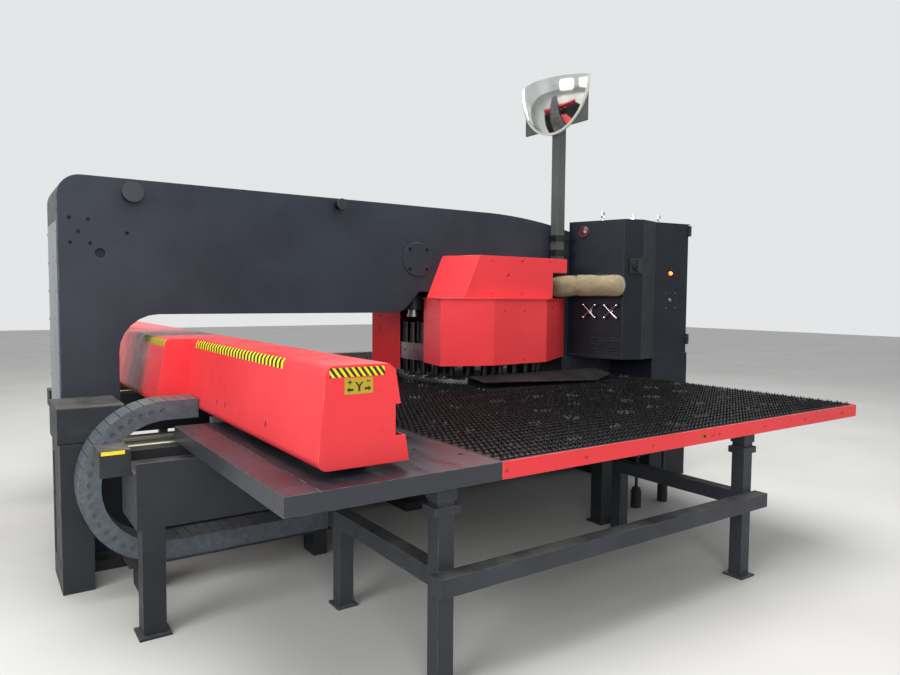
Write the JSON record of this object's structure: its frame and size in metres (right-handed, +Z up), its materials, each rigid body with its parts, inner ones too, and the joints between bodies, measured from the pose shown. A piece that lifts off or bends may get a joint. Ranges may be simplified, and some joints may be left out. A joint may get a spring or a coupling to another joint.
{
  "type": "cnc turret punch press",
  "caption": "Closed-frame turret punch press with a travelling red-covered carriage, brush work tables, turret under a faceted red cover, control cabinets and a round convex lookout mirror",
  "frame": {"origin": "centre of the underside of the middle sole plate, on the floor under the middle of the bridge frame", "axes": "+X along the bridge frame from the carriage end to the cabinet end, +Y square to the frame away from the near side tables, +Z up"},
  "size_m": [4.8564, 5.12, 3.3],
  "materials": {
    "frame_paint": "satin machine paint",
    "base_paint": "dark satin paint",
    "cabinet_paint": "fine textured dark blue-grey paint",
    "cover_red": "smooth red paint",
    "plate_paint": "satin grey paint",
    "end_sheet": "light grey sheet paint",
    "bare_steel": "machined steel",
    "dark_steel": "blackened steel",
    "chrome": "polished chrome",
    "brush_black": "black nylon brush",
    "chain_plastic": "grey nylon links",
    "black_plastic": "black moulded plastic",
    "roll_foam": "dusty beige fleece",
    "post_paint": "worn olive-grey paint",
    "mirror_face": "convex acrylic mirror",
    "lamp_amber": "lit amber lens",
    "lens_red": "dark red lens"
  },
  "bodies": {
    "base": {"frame": "frame_paint", "sole_plates": "base_paint", "frame_end_cover": "end_sheet", "lifting_stubs": "dark_steel", "access_disc": "frame_paint", "ram_housing": "frame_paint", "upper_pivot": "dark_steel", "lower_pivot": "dark_steel", "turret_cover_lower": "cover_red", "turret_cover_upper": "cover_red", "rear_cover": "cover_red", "centre_table": "brush_black", "sheet_ramp": "base_paint", "hanging_cabinet": "cabinet_paint", "louver_panel": "cabinet_paint", "bump_pad": "roll_foam", "tall_cabinet": "cabinet_paint", "door_hinges": "black_plastic", "lift_eyes": "chrome", "switch_base": "black_plastic", "signal_lens": "lens_red", "cable_gland": "chrome", "mirror_post": "post_paint", "post_clamps": "dark_steel", "mirror_bracket": "post_paint", "dome_mirror": "mirror_face", "bed_near": "base_paint", "bed_far": "base_paint", "guide_rails": "bare_steel", "drive_boxes": "base_paint", "gear_cover": "base_paint", "pedestal": "base_paint", "cable_carrier": "chain_plastic", "chain_tray": "base_paint", "outrigger": "base_paint", "stand_near": "base_paint", "stand_far": "base_paint"},
    "cross_slide": {"carriage_beam": "dark_steel", "cover_near": "cover_red", "cover_middle": "cover_red", "cover_far": "cover_red", "slide_plate_near": "plate_paint", "slide_plate_far": "plate_paint", "brush_table_near": "brush_black", "brush_table_far": "brush_black", "edge_strips": "cover_red"},
    "clamp_slide": {"clamp_slide": "dark_steel"},
    "clamp_jaw_a": {"clamp_jaw_a": "bare_steel"},
    "clamp_jaw_b": {"clamp_jaw_b": "bare_steel"},
    "upper_turret": {"upper_turret": "bare_steel", "punch_set": "dark_steel"},
    "lower_turret": {"lower_turret": "bare_steel", "die_set": "bare_steel"},
    "striker": {"striker": "bare_steel"},
    "cabinet_door": {"cabinet_door": "cabinet_paint", "power_lamp": "lamp_amber"},
    "main_switch": {"switch_handle": "black_plastic"},
    "cross_handle_a": {"cross_handle_a": "chrome"},
    "cross_handle_b": {"cross_handle_b": "chrome"}
  },
  "joints": [
    {"name": "cross_travel", "type": "slide", "parent": "base", "child": "cross_slide", "axis": [1, 0, 0], "range_m": [0, 1.2]},
    {"name": "clamp_travel", "type": "slide", "parent": "cross_slide", "child": "clamp_slide", "axis": [0, 1, 0], "range_m": [-0.9, 0.9]},
    {"name": "clamp_a_open", "type": "hinge", "parent": "clamp_slide", "child": "clamp_jaw_a", "pos_m": [-1.235, -0.4, 0.97], "axis": [0, -1, 0], "range_deg": [0, 25]},
    {"name": "clamp_b_open", "type": "hinge", "parent": "clamp_slide", "child": "clamp_jaw_b", "pos_m": [-1.235, 0.4, 0.97], "axis": [0, -1, 0], "range_deg": [0, 25]},
    {"name": "upper_turret_turn", "type": "hinge", "parent": "base", "child": "upper_turret", "pos_m": [0.73, 0, 1.1], "axis": [0, 0, 1], "continuous": true},
    {"name": "lower_turret_turn", "type": "hinge", "parent": "base", "child": "lower_turret", "pos_m": [0.73, 0, 0.86], "axis": [0, 0, 1], "continuous": true},
    {"name": "striker_stroke", "type": "slide", "parent": "base", "child": "striker", "axis": [0, 0, 1], "range_m": [-0.04, 0]},
    {"name": "door_swing", "type": "hinge", "parent": "base", "child": "cabinet_door", "pos_m": [2.48543, -0.82225, 1.636], "axis": [0, 0, 1], "range_deg": [0, 110]},
    {"name": "switch_turn", "type": "hinge", "parent": "base", "child": "main_switch", "pos_m": [1.80638, -0.8287, 1.819], "axis": [-0.3511, -0.9363, 0], "range_deg": [0, 90]},
    {"name": "handle_a_turn", "type": "hinge", "parent": "base", "child": "cross_handle_a", "pos_m": [1.64977, -0.47319, 1.442], "axis": [-0.9477, -0.3192, 0], "range_deg": [0, 90]},
    {"name": "handle_b_turn", "type": "hinge", "parent": "base", "child": "cross_handle_b", "pos_m": [1.7101, -0.6523, 1.442], "axis": [-0.9477, -0.3192, 0], "range_deg": [0, 90]}
  ],
  "couplings": [
    {"joint": "lower_turret_turn", "follows": "upper_turret_turn", "ratio": 1}
  ]
}
